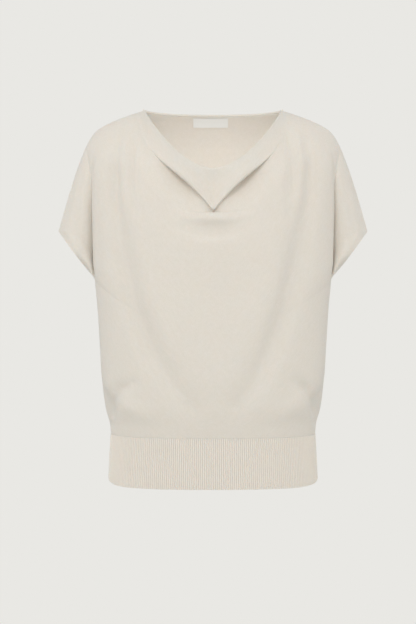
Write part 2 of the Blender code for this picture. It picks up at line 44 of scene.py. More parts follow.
# Cloth, shared by the two panels
cloth = {
    "wall": 1.6,
    "seamGap": 0.3,         # between front and back
    "bandGap": 0.05,        # the band is linked on loop to loop, so no line shows
    "crestShare": 0.62,     # share of the columns that lie on the body, inside the crests
    "evenSpacing": 0.72,    # the rest of the body's columns crowd to the middle
    "innerColumns": 54,
    "outerColumns": 32,
    "rowSpacing": 2.9,
    "shortestRow": 2.0,
    "probeColumns": 8,      # the spacing of rows is measured on every eighth column
    "section": 2.5,         # power of the rounded section across the body
    "shoulderRoll": 62.0,   # height over which the cloth rounds in under the shoulder line
    "neckRoll": 130.0,
    "backNeckRoll": 70.0,
    "neckSide": 100.0,      # the neck's roll changes to the shoulder's from here
    "neckBlend": 50.0,
    "softPoint": 0.03,      # rounds the point that a straight row makes in the middle
    "middleDepth": 112.0,
    "sidePlace": 44.0,      # a row's side push is greatest here
    "sideSpread": 32.0,
    "foldEnd": 0.06,        # share of a fold's length kept from its very end
    "foldFade": 0.6,
    "shortestMitre": 0.6,
    "sharpAngle": 62.0,     # the cut edges of a wall stay crisp, its folds smooth
}
# The cowl's top edge rolls over and hangs a little way down inside, in millimetres and counts of rows
turned = {"gap": 4.4, "depth": 15.0, "start": 1.5, "hangRows": 6, "rollRows": 8, "flatness": 0.75,
          "lookDown": 4, "nearSeam": 1.0}

bandHeights = {"top": -502.0, "bottom": -578.5}

# Outline seen from the front, right half: x, z. The cuff's ring swells out to front and back by cuffSwell.
outline = {
    "overarm": [(108.5, -0.5), (157.5, -18.5), (181.0, -32.0), (190.6, -43.5), (205.0, -74.5),
                (221.0, -121.5), (240.3, -187.5)],
    "side": [(183.0, -261.0), (181.2, -280.0), (179.2, -300.0), (175.3, -360.0), (171.6, -422.0),
             (167.0, -460.0), (159.6, -488.0), (157.5, -501.7)],
    "cuffSwell": 38.0,
    "roof": [(-60.0, 14.0), (0.0, 20.0), (60.0, 14.0)],    # the shoulder line goes on over the neck
    "shoulderPoints": 5,
}

# How far the middle of the front and of the back stands out: z, front, back
depth = [
    (22.0, 60.0, 88.0), (0.0, 64.0, 91.0), (-30.0, 81.0, 95.0), (-60.0, 97.0, 99.0),
    (-97.0, 111.0, 103.0), (-130.0, 115.0, 105.0), (-200.0, 119.0, 104.0), (-300.0, 119.0, 101.0),
    (-400.0, 118.0, 102.0), (-455.0, 114.5, 103.0), (-485.0, 108.5, 100.5), (-502.0, 105.0, 99.0),
]

# Each row of cloth hangs from one edge of the panel to the other through its own middle.
# edge: 0 shoulder-neck point, 1 sleeve tip, 2 underarm, 3 band seam
# straight, bow, power: the straighter share of the hanging line, its power, and the power of the rest
# pushMiddle, pushSide: how far the row stands out of the plain form there, the first over its spread
# crest: where the body's own front turns back towards the sleeve
# section: half width of the body above the underarm. sleeve: 1 where the row runs on into a sleeve
rowNames = ("name", "edge", "middleZ", "straight", "bow", "power", "pushMiddle", "spread", "pushSide",
            "crest", "section", "sleeve")

# Where a row runs on into a sleeve it turns back at the crest into a narrow gap, then goes out over the arm
# turn: share of the way, across in gap widths, back in fold depths, swell of the sleeve
sleevePath = {
    "turn": [(0.00, 0.00, 0.00, 0.00), (0.10, -0.10, 0.50, 0.00), (0.20, 0.05, 0.92, 0.00),
             (0.28, 0.50, 1.00, 0.05), (0.36, 1.00, 0.62, 0.30), (0.46, 1.00, 0.30, 0.62),
             (0.62, 1.00, 0.10, 0.90), (0.80, 1.00, 0.00, 0.85), (1.00, 1.00, 0.00, 0.00)],
    "gap": [(0.0, 1.6), (0.6, 1.8), (1.0, 2.4), (1.6, 4.0), (2.0, 6.5), (3.0, 7.0)],
    "deep": [(0.0, 0.08), (0.43, 0.1), (0.7, 0.22), (0.9, 0.5), (1.2, 0.85), (1.6, 1.0), (3.0, 1.1)],
    "beyond": 0.30,        # share of the way from which the arm goes outwards
    "beyondPower": 1.15,
    "settle": 1.5,         # power with which the fold's depth gives way to the cuff's ring
    "widestGap": 0.45,     # share of a short row that the gap may take
    "swell": 18.0,
    "cuffLoss": 0.75,      # share of the swell lost where the cuff's ring is widest
    "room": 42.0,
}

front = {
    "side": "front",
    "sign": -1.0,
    "foldDepth": 22.0,
    "rows": [
        ("cowl edge", 0.000, -101.2, 0.00, 1.00, 1.82, 0.0, 27, 2.5, 92.0, 200, 0),
        ("roll", 0.007, -107.5, 0.15, 1.10, 1.95, -2.5, 27, 5.0, 92.5, 200, 0),
        ("cowl band", 0.015, -126.5, 0.74, 1.17, 5.30, -6.0, 25, 8.5, 93.5, 200, 0),
        ("tongue", 0.023, -145.5, 0.68, 0.95, 7.20, -4.0, 20, 10.0, 95.0, 200, 0),
        ("valley brow", 0.031, -159.4, 0.64, 0.80, 7.70, 0.0, 15, 8.0, 96.5, 200, 0),
        ("valley", 0.042, -164.5, 0.655, 0.75, 10.0, -3.5, 9, -12.5, 98.0, 200, 0),
        ("pocket", 0.065, -172.0, 0.46, 0.95, 5.00, -5.0, 8, -5.0, 103.0, 200, 0),
        ("behind the lip", 0.100, -170.0, 0.20, 1.00, 3.40, -3.0, 12, -2.0, 110.0, 200, 0),
        ("lip", 0.145, -166.5, 0.00, 1.00, 3.20, 5.0, 26, -1.0, 121.0, 200, 0),
        ("lip front", 0.185, -174.5, 0.00, 1.00, 2.80, 8.5, 34, -0.6, 130.0, 200, 0),
        ("under the lip", 0.230, -186.0, 0.00, 1.00, 2.55, 2.0, 38, -0.4, 141.0, 200, 0),
        ("soft hollow", 0.285, -198.0, 0.00, 1.00, 2.40, -0.5, 42, -0.2, 153.0, 200, 0),
        ("below the hollow", 0.345, -212.0, 0.00, 1.00, 2.28, 3.5, 44, 0.0, 167.0, 200, 0),
        ("chest 1", 0.430, -230.0, 0.00, 1.00, 2.15, 3.0, 40, 0.0, 178.0, 199, 0.55),
        ("chest 2", 0.540, -250.0, 0.00, 1.00, 2.10, 2.0, 40, 0.0, 183.0, 196, 0.85),
        ("chest 3", 0.670, -269.0, 0.00, 1.00, 2.05, 1.0, 40, 0.0, 184.5, 193, 1),
        ("chest 4", 0.790, -285.0, 0.00, 1.00, 2.00, 0.0, 40, 0.0, 184.0, 191, 1),
        ("chest 5", 0.900, -299.0, 0.00, 1.00, 2.00, 0.0, 40, 0.0, 183.5, 190, 1),
        ("sleeve tip", 1.000, -311.0, 0.00, 1.00, 2.00, 0.0, 40, 0.0, 183.0, 189, 1),
        ("cuff 1", 1.200, -320.0, 0.00, 1.00, 2.00, 0.0, 40, 0.0, 182.0, 188, 1),
        ("cuff 2", 1.420, -328.0, 0.00, 1.00, 2.00, 0.0, 40, 0.0, 181.2, 187, 1),
        ("cuff 3", 1.640, -335.0, 0.00, 1.00, 2.00, 0.0, 40, 0.0, 180.3, 186, 1),
        ("cuff 4", 1.840, -341.0, 0.00, 1.00, 2.00, 0.0, 40, 0.0, 179.3, 185, 1),
        ("underarm", 2.000, -347.0, 0.00, 1.00, 2.00, 0.0, 40, 0.0, 178.3, 184, 0),
        ("side 1", 2.080, -358.0, 0.00, 1.00, 2.00, 0.0, 40, 0.0, 177.2, 184, 0),
        ("side 2", 2.190, -375.0, 0.00, 1.00, 2.00, 0.0, 40, 0.0, 174.6, 184, 0),
        ("side 3", 2.320, -396.0, 0.00, 1.00, 2.00, 0.0, 40, 0.0, 172.2, 184, 0),
        ("side 4", 2.450, -416.0, 0.00, 1.00, 2.00, 0.0, 40, 0.0, 170.2, 184, 0),
        ("side 5", 2.590, -437.0, 0.00, 1.00, 2.00, 0.0, 40, 0.0, 168.0, 184, 0),
        ("side 6", 2.710, -455.0, 0.00, 1.00, 2.00, 0.0, 40, 0.0, 165.0, 184, 0),
        ("side 7", 2.810, -470.0, 0.00, 1.00, 2.00, 0.0, 40, 0.0, 162.0, 184, 0),
        ("side 8", 2.890, -482.0, 0.00, 1.00, 2.00, 0.0, 40, 0.0, 158.5, 184, 0),
        ("side 9", 2.950, -492.0, 0.00, 1.00, 2.00, 0.0, 40, 0.0, 156.0, 184, 0),
        ("band seam", 3.000, -501.7, 0.00, 1.00, 2.00, 0.0, 40, 0.0, 155.2, 184, 0),
    ],
    # name, depth, width, path of x, z
    "folds": [
        ("left shoulder, outer", -6.5, 10.0, ((-143, -38), (-149, -90), (-150, -140), (-146, -195))),
        ("left shoulder, ridge", 3.5, 9.0, ((-128, -30), (-134, -80), (-136, -130), (-132, -180))),
        ("left shoulder, inner", -5.5, 8.5, ((-114, -25), (-120, -70), (-121, -115), (-116, -160))),
        ("left drape", -11.0, 16.0,
         ((-146, -110), (-137, -225), (-119, -305), (-93, -370), (-60, -425), (-33, -456))),
        ("left drape, inner swell", 3.5, 24.0,
         ((-112, -150), (-104, -230), (-88, -300), (-62, -360), (-25, -410))),
        ("left pinch", -7.5, 9.0, ((-163, -480), (-153, -450), (-140, -430), (-122, -420))),
        ("left tuck", -8.0, 9.0, ((-172, -425), (-165, -455), (-158, -482))),
        ("left pouch", 4.0, 14.0, ((-156, -428), (-130, -455), (-100, -468))),
        ("right shoulder, outer", -5.5, 10.0, ((141, -38), (147, -90), (147, -140), (142, -190))),
        ("right shoulder, ridge", 3.5, 9.0, ((126, -30), (131, -80), (132, -130), (128, -180))),
        ("right shoulder, inner", -6.0, 8.5, ((112, -25), (117, -70), (117, -115), (113, -165))),
        ("right drape", -11.0, 16.0,
         ((143, -110), (128, -225), (110, -300), (86, -368), (60, -425), (38, -452))),
        ("right drape, inner swell", 3.5, 24.0,
         ((108, -150), (96, -230), (78, -300), (52, -360), (18, -410))),
        ("right pinch", -7.5, 9.0, ((163, -476), (152, -448), (140, -430), (124, -418))),
        ("right tuck", -8.0, 9.0, ((172, -422), (165, -452), (158, -480))),
        ("right pouch", 4.0, 14.0, ((155, -424), (130, -452), (98, -466))),
    ],
}

back = {
    "side": "back",
    "sign": 1.0,
    "foldDepth": 13.0,
    "rows": [
        ("back neck", 0.000, -1.0, 0.00, 1.00, 2.00, 0.0, 40, 0.0, 90.0, 205, 0),
        ("yoke 1", 0.060, -14.0, 0.00, 1.00, 2.00, 0.0, 40, 0.0, 104.0, 205, 0),
        ("yoke 2", 0.150, -33.0, 0.00, 1.00, 2.00, 0.0, 40, 0.0, 124.0, 205, 0),
        ("yoke 3", 0.250, -56.0, 0.00, 1.00, 2.00, 0.0, 40, 0.0, 145.0, 205, 0),
        ("yoke 4", 0.345, -82.0, 0.00, 1.00, 2.00, 0.0, 40, 0.0, 166.0, 205, 0),
        ("yoke 5", 0.430, -107.0, 0.00, 1.00, 2.00, 0.0, 40, 0.0, 176.0, 204, 0.5),
        ("blade 1", 0.540, -136.0, 0.00, 1.00, 2.00, 0.0, 40, 0.0, 181.0, 202, 0.8),
        ("blade 2", 0.670, -170.0, 0.00, 1.00, 2.00, 0.0, 40, 0.0, 182.5, 199, 1),
        ("blade 3", 0.830, -208.0, 0.00, 1.00, 2.00, 0.0, 40, 0.0, 182.5, 196, 1),
        ("sleeve tip", 1.000, -244.0, 0.00, 1.00, 2.00, 0.0, 40, 0.0, 182.0, 193, 1),
        ("cuff 1", 1.200, -258.0, 0.00, 1.00, 2.00, 0.0, 40, 0.0, 181.5, 191, 1),
        ("cuff 2", 1.420, -270.0, 0.00, 1.00, 2.00, 0.0, 40, 0.0, 180.5, 189, 1),
        ("cuff 3", 1.640, -280.0, 0.00, 1.00, 2.00, 0.0, 40, 0.0, 179.6, 187, 1),
        ("cuff 4", 1.840, -289.0, 0.00, 1.00, 2.00, 0.0, 40, 0.0, 178.8, 185.5, 1),
        ("underarm", 2.000, -297.0, 0.00, 1.00, 2.00, 0.0, 40, 0.0, 178.0, 184, 0),
        ("side 1", 2.100, -313.0, 0.00, 1.00, 2.00, 0.0, 40, 0.0, 177.0, 184, 0),
        ("side 2", 2.270, -345.0, 0.00, 1.00, 2.00, 0.0, 40, 0.0, 173.0, 184, 0),
        ("side 3", 2.440, -381.0, 0.00, 1.00, 2.00, 0.0, 40, 0.0, 170.0, 184, 0),
        ("side 4", 2.610, -418.0, 0.00, 1.00, 2.00, 0.0, 40, 0.0, 167.5, 184, 0),
        ("side 5", 2.750, -450.0, 0.00, 1.00, 2.00, 0.0, 40, 0.0, 164.0, 184, 0),
        ("side 6", 2.850, -472.0, 0.00, 1.00, 2.00, 0.0, 40, 0.0, 160.5, 184, 0),
        ("side 7", 2.930, -488.0, 0.00, 1.00, 2.00, 0.0, 40, 0.0, 156.6, 184, 0),
        ("band seam", 3.000, -501.7, 0.00, 1.00, 2.00, 0.0, 40, 0.0, 155.2, 184, 0),
    ],
    "folds": [
        ("left blade", -4.0, 14.0, ((-140, -60), (-146, -130), (-140, -200), (-128, -270))),
        ("left drape", -6.0, 20.0,
         ((-150, -210), (-136, -300), (-112, -370), (-76, -430), (-40, -462))),
        ("left pinch", -5.0, 9.0, ((-162, -478), (-150, -446), (-132, -428))),
        ("right blade", -4.0, 14.0, ((138, -62), (143, -132), (137, -205), (124, -265))),
        ("right drape", -6.0, 20.0, ((147, -215), (132, -302), (104, -374), (70, -428), (36, -458))),
        ("right pinch", -5.0, 9.0, ((162, -475), (149, -450), (130, -432))),
    ],
}


def curve(xs, ys, at):
    # A smooth line through the points, with no overshoot between them
    xs, ys, at = np.asarray(xs, float), np.asarray(ys, float), np.asarray(at, float)
    step = np.diff(xs)
    slope = np.diff(ys) / step
    tangent = np.zeros_like(ys)
    tangent[0], tangent[-1] = slope[0], slope[-1]
    both = slope[:-1] * slope[1:] > 0
    first = 2 * step[1:] + step[:-1]
    second = step[1:] + 2 * step[:-1]
    safeA = np.where(both, slope[:-1], 1.0)
    safeB = np.where(both, slope[1:], 1.0)
    tangent[1:-1] = np.where(both, (first + second) / (first / safeA + second / safeB), 0.0)
    span = np.clip(np.searchsorted(xs, at, side="right") - 1, 0, len(xs) - 2)
    t = np.clip((at - xs[span]) / step[span], 0.0, 1.0)
    low, high = ys[span], ys[span + 1]
    start = (1 + 2 * t) * (1 - t) ** 2 * low + t * (1 - t) ** 2 * step[span] * tangent[span]
    end = t * t * (3 - 2 * t) * high + t * t * (t - 1) * step[span] * tangent[span + 1]
    return start + end


def tableColumn(table, place):
    return np.array([row[place] for row in table], dtype=float)


def edgePoint(edge):
    # x and z on a panel's outer edge, and how far the cuff's ring stands out there
    overX, overZ = tableColumn(outline["overarm"], 0), tableColumn(outline["overarm"], 1)
    length = np.concatenate([[0], np.cumsum(np.hypot(np.diff(overX), np.diff(overZ)))])
    length = length / length[-1]
    sideX, sideZ = tableColumn(outline["side"], 0), tableColumn(outline["side"], 1)
    drop = (sideZ - sideZ[0]) / (sideZ[-1] - sideZ[0])
    onCuff = np.clip(edge - 1, 0, 1)
    x = np.where(edge <= 1, curve(length, overX, edge),
                 np.where(edge <= 2, overX[-1] + (sideX[0] - overX[-1]) * onCuff,
                          curve(drop, sideX, edge - 2)))
    z = np.where(edge <= 1, curve(length, overZ, edge),
                 np.where(edge <= 2, overZ[-1] + (sideZ[0] - overZ[-1]) * onCuff,
                          curve(drop, sideZ, edge - 2)))
    return x, z, outline["cuffSwell"] * np.sin(math.pi * onCuff)


def bodyDepth(x, z, halfWidth, side):
    # Depth of the plain worn form, rounded at the sides and under the shoulder line
    middle = curve(-tableColumn(depth, 0), tableColumn(depth, 1 if side == "front" else 2), -z)
    power = cloth["section"]
    section = (1 - np.clip(np.abs(x) / halfWidth, 0, 1) ** power) ** (1 / power)
    roof = outline["roof"] + outline["overarm"][:outline["shoulderPoints"]]
    roofZ = curve(tableColumn(roof, 0), tableColumn(roof, 1), np.abs(x))
    nearNeck = cloth["backNeckRoll"] if side == "back" else cloth["neckRoll"]
    onShoulder = np.clip((np.abs(x) - cloth["neckSide"]) / cloth["neckBlend"], 0, 1)
    roll = nearNeck + (cloth["shoulderRoll"] - nearNeck) * onShoulder
    below = np.clip((roofZ - z) / roll, 0, 1)
    return middle * section * np.sqrt(1 - (1 - below) ** 2)


def foldPush(x, z, folds):
    # Sum of the folds' soft troughs and ridges, each fading out at its two ends
    total = np.zeros_like(x)
    for name, height, width, path in folds:
        points = np.array(path, float)
        lengths = np.hypot(*np.diff(points, axis=0).T)
        nearest = np.full(x.shape, np.inf)
        along = np.zeros_like(x)
        walked = 0.0
        for start, end, length in zip(points[:-1], points[1:], lengths):
            way = (end - start) / length
            t = np.clip((x - start[0]) * way[0] + (z - start[1]) * way[1], 0, length)
            away = np.hypot(x - start[0] - way[0] * t, z - start[1] - way[1] * t)
            along = np.where(away < nearest, (walked + t) / lengths.sum(), along)
            nearest = np.minimum(nearest, away)
            walked += length
        inside = np.clip(along, cloth["foldEnd"], 1 - cloth["foldEnd"])
        fade = np.sin(math.pi * inside) ** cloth["foldFade"]
        total += height * np.exp(-(nearest / width) ** 2) * fade
    return total


def columnShares():
    # Places of the columns from -1 at one edge to 1 at the other, with the body's inside the crests
    inner = np.arange(cloth["innerColumns"] + 1) / cloth["innerColumns"]
    outer = np.arange(1, cloth["outerColumns"] + 1) / cloth["outerColumns"]
    crestShare = cloth["crestShare"]
    half = np.concatenate([crestShare * inner, crestShare + (1 - crestShare) * outer])
    return np.concatenate([-half[::-1], half[1:]])[None, :]


def placeAcross(across, crest, endX):
    # Across the body up to the crest, then on to the edge; c runs from 0 at the crest to 1 at the edge
    t = np.clip(np.abs(across) / cloth["crestShare"], 0, 1)
    c = np.clip((np.abs(across) - cloth["crestShare"]) / (1 - cloth["crestShare"]), 0, 1)
    even = cloth["evenSpacing"]
    return crest * (even * t + (1 - even) * t * t) + (endX - crest) * np.sin(c * math.pi / 2), c


def hangShares(rows):
    # For each row of the table, how far each column has risen from the middle's height to the edge's
    value = {name: tableColumn(rows, k)[:, None] for k, name in enumerate(rowNames) if k > 0}
    endX = edgePoint(value["edge"])[0]
    plainX = placeAcross(columnShares(), value["crest"], endX)[0]
    share = np.clip(plainX / endX, 0, 1)
    softPoint = cloth["softPoint"]
    soft = np.sqrt(share ** 2 + softPoint ** 2) - softPoint
    soft = soft / (math.sqrt(1 + softPoint ** 2) - softPoint)
    return value["straight"] * soft ** value["bow"] + (1 - value["straight"]) * share ** value["power"]


def panelGrid(panel, steps):
    # Middle surface of the front or back, one row of points for each step
    sign, side, rows = panel["sign"], panel["side"], panel["rows"]
    place = np.arange(len(rows))
    rowHang = hangShares(rows)
    value = {name: curve(place, tableColumn(rows, k), steps)[:, None]
             for k, name in enumerate(rowNames) if k > 0}
    across = columnShares()
    edge, crest = value["edge"], value["crest"]
    endX, endZ, endSwell = edgePoint(edge)
    plainX, c = placeAcross(across, crest, endX)
    hang = np.stack([curve(place, column, steps) for column in rowHang.T], axis=1)
    z = value["middleZ"] + (endZ - value["middleZ"]) * hang

    # The plain form, the row's own pushes and the folds
    halfWidth = np.where(edge >= 2, endX, value["section"])
    y = bodyDepth(plainX, z, halfWidth, side)
    fade = 1 - c ** 2
    y = y + value["pushMiddle"] * np.exp(-(plainX / value["spread"]) ** 2)
    y = y + fade * value["pushSide"] * np.exp(-((plainX - cloth["sidePlace"]) / cloth["sideSpread"]) ** 2)
    steep = cloth["section"] - 1
    leanX = np.clip(plainX / halfWidth, 0, 1) ** steep / halfWidth
    leanY = np.clip(y / cloth["middleDepth"], 0, 1) ** steep / cloth["middleDepth"]
    lean = np.hypot(leanX, leanY)
    push = fade * foldPush(np.sign(across) * plainX, z, panel["folds"])
    y = y + push * leanY / lean
    plainX = plainX + push * leanX / lean

    # On into the sleeve
    path = sleevePath["turn"]
    along = tableColumn(path, 0)
    crestColumn = cloth["innerColumns"] * 2 + cloth["outerColumns"]
    crestY = y[:, [crestColumn]]
    length = endX - crest
    room = np.clip(length / sleevePath["room"], 0, 1)
    gap = np.minimum(curve(*zip(*sleevePath["gap"]), edge), sleevePath["widestGap"] * length)
    deep = panel["foldDepth"] * room * curve(*zip(*sleevePath["deep"]), edge)
    foldY = crestY - deep * curve(along, tableColumn(path, 2), c)
    settle = c ** sleevePath["settle"]
    armY = foldY * (1 - settle) + endSwell * settle
    ownSwell = sleevePath["swell"] * room * (1 - sleevePath["cuffLoss"] * endSwell / outline["cuffSwell"])
    armY = armY + ownSwell * curve(along, tableColumn(path, 3), c)
    beyond = np.clip((c - sleevePath["beyond"]) / (1 - sleevePath["beyond"]), 0, 1)
    armX = crest + gap * curve(along, tableColumn(path, 1), c)
    armX = armX + (length - gap) * beyond ** sleevePath["beyondPower"]
    weight = value["sleeve"] * (c > 0)
    x = np.sign(across) * (plainX * (1 - weight) + armX * weight)
    y = np.maximum(y * (1 - weight) + armY * weight, 0.0)
    return np.stack([x, sign * (y + cloth["seamGap"] / 2), z], axis=2), edge[:, 0]


def fineSteps(panel):
    # Row places spaced evenly along the cloth, from the coarse rows' longest distances
    rows = len(panel["rows"])
    coarse = panelGrid(panel, np.arange(rows, dtype=float))[0]
    apart = np.linalg.norm(np.diff(coarse, axis=0), axis=2)
    longest = np.maximum(apart[:, ::cloth["probeColumns"]].max(axis=1), cloth["shortestRow"])
    steps = []
    for k, length in enumerate(longest):
        count = max(2, int(math.ceil(length / cloth["rowSpacing"])))
        steps += list(k + np.arange(count) / count)
    return np.array(steps + [rows - 1.0])


def gridNormals(points, sign):
    # Mean of the faces around each point, longer at sharp folds as a mitre is
    a, b = points[:-1, :-1], points[:-1, 1:]
    c, d = points[1:, 1:], points[1:, :-1]
    face = np.cross(c - b, d - a) + np.cross(d - b, c - a)
    face = face / np.maximum(np.linalg.norm(face, axis=2, keepdims=True), 1e-9)
    corners = ((slice(0, -1), slice(0, -1)), (slice(0, -1), slice(1, None)),
               (slice(1, None), slice(0, -1)), (slice(1, None), slice(1, None)))
    total = np.zeros_like(points)
    for corner in corners:
        total[corner] += face
    unit = total / np.maximum(np.linalg.norm(total, axis=2, keepdims=True), 1e-9)
    agree = np.ones(points.shape[:2])
    for corner in corners:
        agree[corner] = np.minimum(agree[corner], (unit[corner] * face).sum(axis=2))
    return sign * unit / np.clip(agree, cloth["shortestMitre"], 1.0)[:, :, None]


def turnedEdge(points, normals):
    # Rows added above the cowl's edge: the cloth rolls over it and hangs a little way inside
    rim, below = points[0], points[turned["lookDown"]]
    down = below - rim
    down = down / np.linalg.norm(down, axis=1, keepdims=True)
    inward = -(normals[0] + normals[1])
    onSeam = np.abs(rim[:, 1]) < turned["nearSeam"]
    inward[onSeam, 1] = down[onSeam, 1] = 0.0
    inward = inward - down * (inward * down).sum(axis=1, keepdims=True)
    inward = inward / np.linalg.norm(inward, axis=1, keepdims=True)
    halfTurn = turned["gap"] / 2
    added = []
    for drop in np.linspace(turned["depth"], turned["start"], turned["hangRows"]):
        added.append(rim + inward * halfTurn * 2 + down * drop)
    for angle in np.linspace(0.0, math.pi, turned["rollRows"] + 1)[:-1]:
        rise = halfTurn * math.sin(angle) * turned["flatness"]
        added.append(rim + inward * halfTurn * (1 + math.cos(angle)) - down * rise)
    return np.concatenate([np.stack(added), points])


def setUv(mesh, uv):
    layer = mesh.uv_layers.new(name="yarnMap")
    corner = np.zeros(len(mesh.loops), dtype=np.int32)
    mesh.loops.foreach_get("vertex_index", corner)
    layer.data.foreach_set("uv", uv[corner].astype(np.float32).ravel())


def addPiece(name, points, faces, uv):
    mesh = bpy.data.meshes.new(name)
    mesh.from_pydata((np.asarray(points).reshape(-1, 3) * mm).tolist(), [], faces)
    mesh.update()
    mesh.shade_smooth()
    mesh.set_sharp_from_angle(angle=math.radians(cloth["sharpAngle"]))
    setUv(mesh, np.asarray(uv).reshape(-1, 2) * mm)
    piece = bpy.data.objects.new(name, mesh)
    bpy.context.scene.collection.objects.link(piece)
    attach(piece, "root")
    return piece


def wallFaces(rows, columns, outwardFirst):
    # Faces of a closed wall made from an outer and an inner grid of points
    count = rows * columns
    grid = np.arange(count).reshape(rows, columns)
    a, b, c, d = grid[:-1, :-1], grid[1:, :-1], grid[1:, 1:], grid[:-1, 1:]
    outer = np.stack([a, b, c, d], axis=-1).reshape(-1, 4)
    inner = outer[:, ::-1] + count
    top, low, left, right = grid[0], grid[-1], grid[:, 0], grid[:, -1]
    rims = [np.stack([count + top[:-1], top[:-1], top[1:], count + top[1:]], axis=-1),
            np.stack([low[:-1], count + low[:-1], count + low[1:], low[1:]], axis=-1),
            np.stack([count + left[:-1], count + left[1:], left[1:], left[:-1]], axis=-1),
            np.stack([right[:-1], right[1:], count + right[1:], count + right[:-1]], axis=-1)]
    faces = np.concatenate([outer, inner] + rims)
    if not outwardFirst:
        faces = faces[:, ::-1]
    return faces.tolist()


def clothMap(points):
    # Distance across from the middle column and down each column, so stitches keep their size
    across = np.linalg.norm(np.diff(points, axis=1), axis=2)
    across = np.concatenate([np.zeros((len(points), 1)), np.cumsum(across, axis=1)], axis=1)
    across = across - across[:, [points.shape[1] // 2]]
    down = np.linalg.norm(np.diff(points, axis=0), axis=2)
    down = np.concatenate([np.zeros((1, points.shape[1])), np.cumsum(down, axis=0)], axis=0)
    return np.stack([across, -down], axis=2)


def makePanel(name, panel):
    points, edge = panelGrid(panel, fineSteps(panel))
    facing = -panel["sign"]
    if panel["side"] == "front":
        added = turnedEdge(points, gridNormals(points, facing))
        edge = np.concatenate([np.zeros(len(added) - len(points)), edge])
        points = added
    normals = gridNormals(points, facing)
    onSeam = (edge <= 1.0) | (edge >= 2.0)
    for end, hand in ((0, -1.0), (-1, 1.0)):
        along = np.gradient(points[:, end], axis=0)[onSeam]
        flat = np.stack([-along[:, 2], 0 * along[:, 1], along[:, 0]], axis=1) * hand
        normals[onSeam, end] = flat / np.linalg.norm(flat, axis=1, keepdims=True)
    outer = points + normals * cloth["wall"] / 2
    inner = points - normals * cloth["wall"] / 2
    for grid in (outer, inner):
        for end in (0, -1):
            grid[onSeam, end, 1] = panel["sign"] * cloth["seamGap"] / 2
    outer[-1, :, 2] = inner[-1, :, 2] = bandHeights["top"] + cloth["bandGap"]
    faces = wallFaces(*points.shape[:2], panel["side"] == "front")
    uv = clothMap(points)
    piece = addPiece(name, np.stack([outer, inner]), faces, np.stack([uv, uv]))
    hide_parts(panel["side"])
    down, across = points[1:, :-1] - points[:-1, :-1], points[:-1, 1:] - points[:-1, :-1]
    area = np.linalg.norm(np.cross(down, across), axis=2).sum() * mm ** 2
    print(f"{name}: {points.shape[0]} rows of {points.shape[1]}, {area:.4f} square metres")
    return piece, points, normals


print("cloth panels")
frontCloth = makePanel("frontCloth", front)[0]
backCloth, backPoints, backNormals = makePanel("backCloth", back)


# Ribbed waistband
waistband = {
    "wall": 2.4,
    "rise": 1.3,            # height of a rib over the furrow
    "ribPower": 0.7,        # below 1 a rib is flat on top, as knitted ribs are
    "ribsPerHalf": 140,
    "ribPitch": 3.07,       # from rib to rib, as counted on the photograph
    "pointsPerRib": 8,
    "rows": 18,
    "section": 2.5,
    "halfWidth": (157.5, 161.5),    # at the top and at the bottom, and so below
    "halfDepth": {"front": (105.0, 107.0), "back": (99.0, 101.0)},
    "measuringPoints": 8001,
    "edgeRound": 1.2,
    "edgeThin": 0.8,        # how much of the wall and of the ribs the rounded lower edge loses
    "edgeFlat": 0.6,
    "cornerLift": 5.0,      # the lower edge rises this far at the two sides
    "liftPower": 14,
    "liftStart": 3,
}


def bandLoop(angle, z, side, push):
    down = (bandHeights["top"] - z) / (bandHeights["top"] - bandHeights["bottom"])
    halfWidth = waistband["halfWidth"][0] + np.diff(waistband["halfWidth"])[0] * down
    halfDepth = waistband["halfDepth"][side][0] + np.diff(waistband["halfDepth"][side])[0] * down
    power = 2 / waistband["section"]
    x = -halfWidth * np.sign(np.cos(angle)) * np.abs(np.cos(angle)) ** power
    y = halfDepth * np.abs(np.sin(angle)) ** power
    outward = np.stack([x / halfWidth ** 2, y / halfDepth ** 2])
    outward = outward / np.linalg.norm(outward, axis=0)
    return x + outward[0] * push, y + outward[1] * push


def makeWaistband(name, side):
    sign = -1.0 if side == "front" else 1.0
    fine = np.linspace(0, math.pi, waistband["measuringPoints"])
    x, y = bandLoop(fine, bandHeights["top"], side, 0.0)
    length = np.concatenate([[0], np.cumsum(np.hypot(np.diff(x), np.diff(y)))])
    count = waistband["ribsPerHalf"] * waistband["pointsPerRib"]
    angles = np.interp(np.linspace(0, length[-1], count + 1), length, fine)
    phase = np.arange(count + 1) / waistband["pointsPerRib"]
    wave = np.cos(2 * math.pi * (phase - 0.5))
    wave = np.sign(wave) * np.abs(wave) ** waistband["ribPower"]
    height = bandHeights["top"] - bandHeights["bottom"]
    levels = np.linspace(0, 1, waistband["rows"])
    sideways = np.abs(np.cos(angles)) ** (2 / waistband["section"])
    grids = []
    for face in (1.0, -1.0):
        rows = []
        for level in levels:
            lift = waistband["cornerLift"] * level ** waistband["liftStart"]
            z = bandHeights["top"] - height * level + lift * sideways ** waistband["liftPower"]
            near = (1 - level) * height
            rounding = 1 - math.sqrt(max(0.0, 1 - max(0.0, 1 - near / waistband["edgeRound"]) ** 2))
            thick = waistband["wall"] / 2 * (1 - waistband["edgeThin"] * rounding)
            push = face * thick + waistband["rise"] / 2 * wave * (1 - waistband["edgeFlat"] * rounding)
            x, y = bandLoop(angles, z, side, push)
            y = sign * (np.maximum(y, 0.0) + cloth["seamGap"] / 2)
            rows.append(np.stack([x, y, z], axis=1))
        grids.append(np.stack(rows))
    faces = wallFaces(len(levels), count + 1, side == "front")
    u = np.broadcast_to((phase * waistband["ribPitch"])[None, :], (len(levels), count + 1))
    v = np.broadcast_to(-levels[:, None] * height, u.shape)
    uv = np.stack([u, v], axis=2)
    piece = addPiece(name, np.stack(grids), faces, np.stack([uv, uv]))
    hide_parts("waistband_" + side)
    return piece


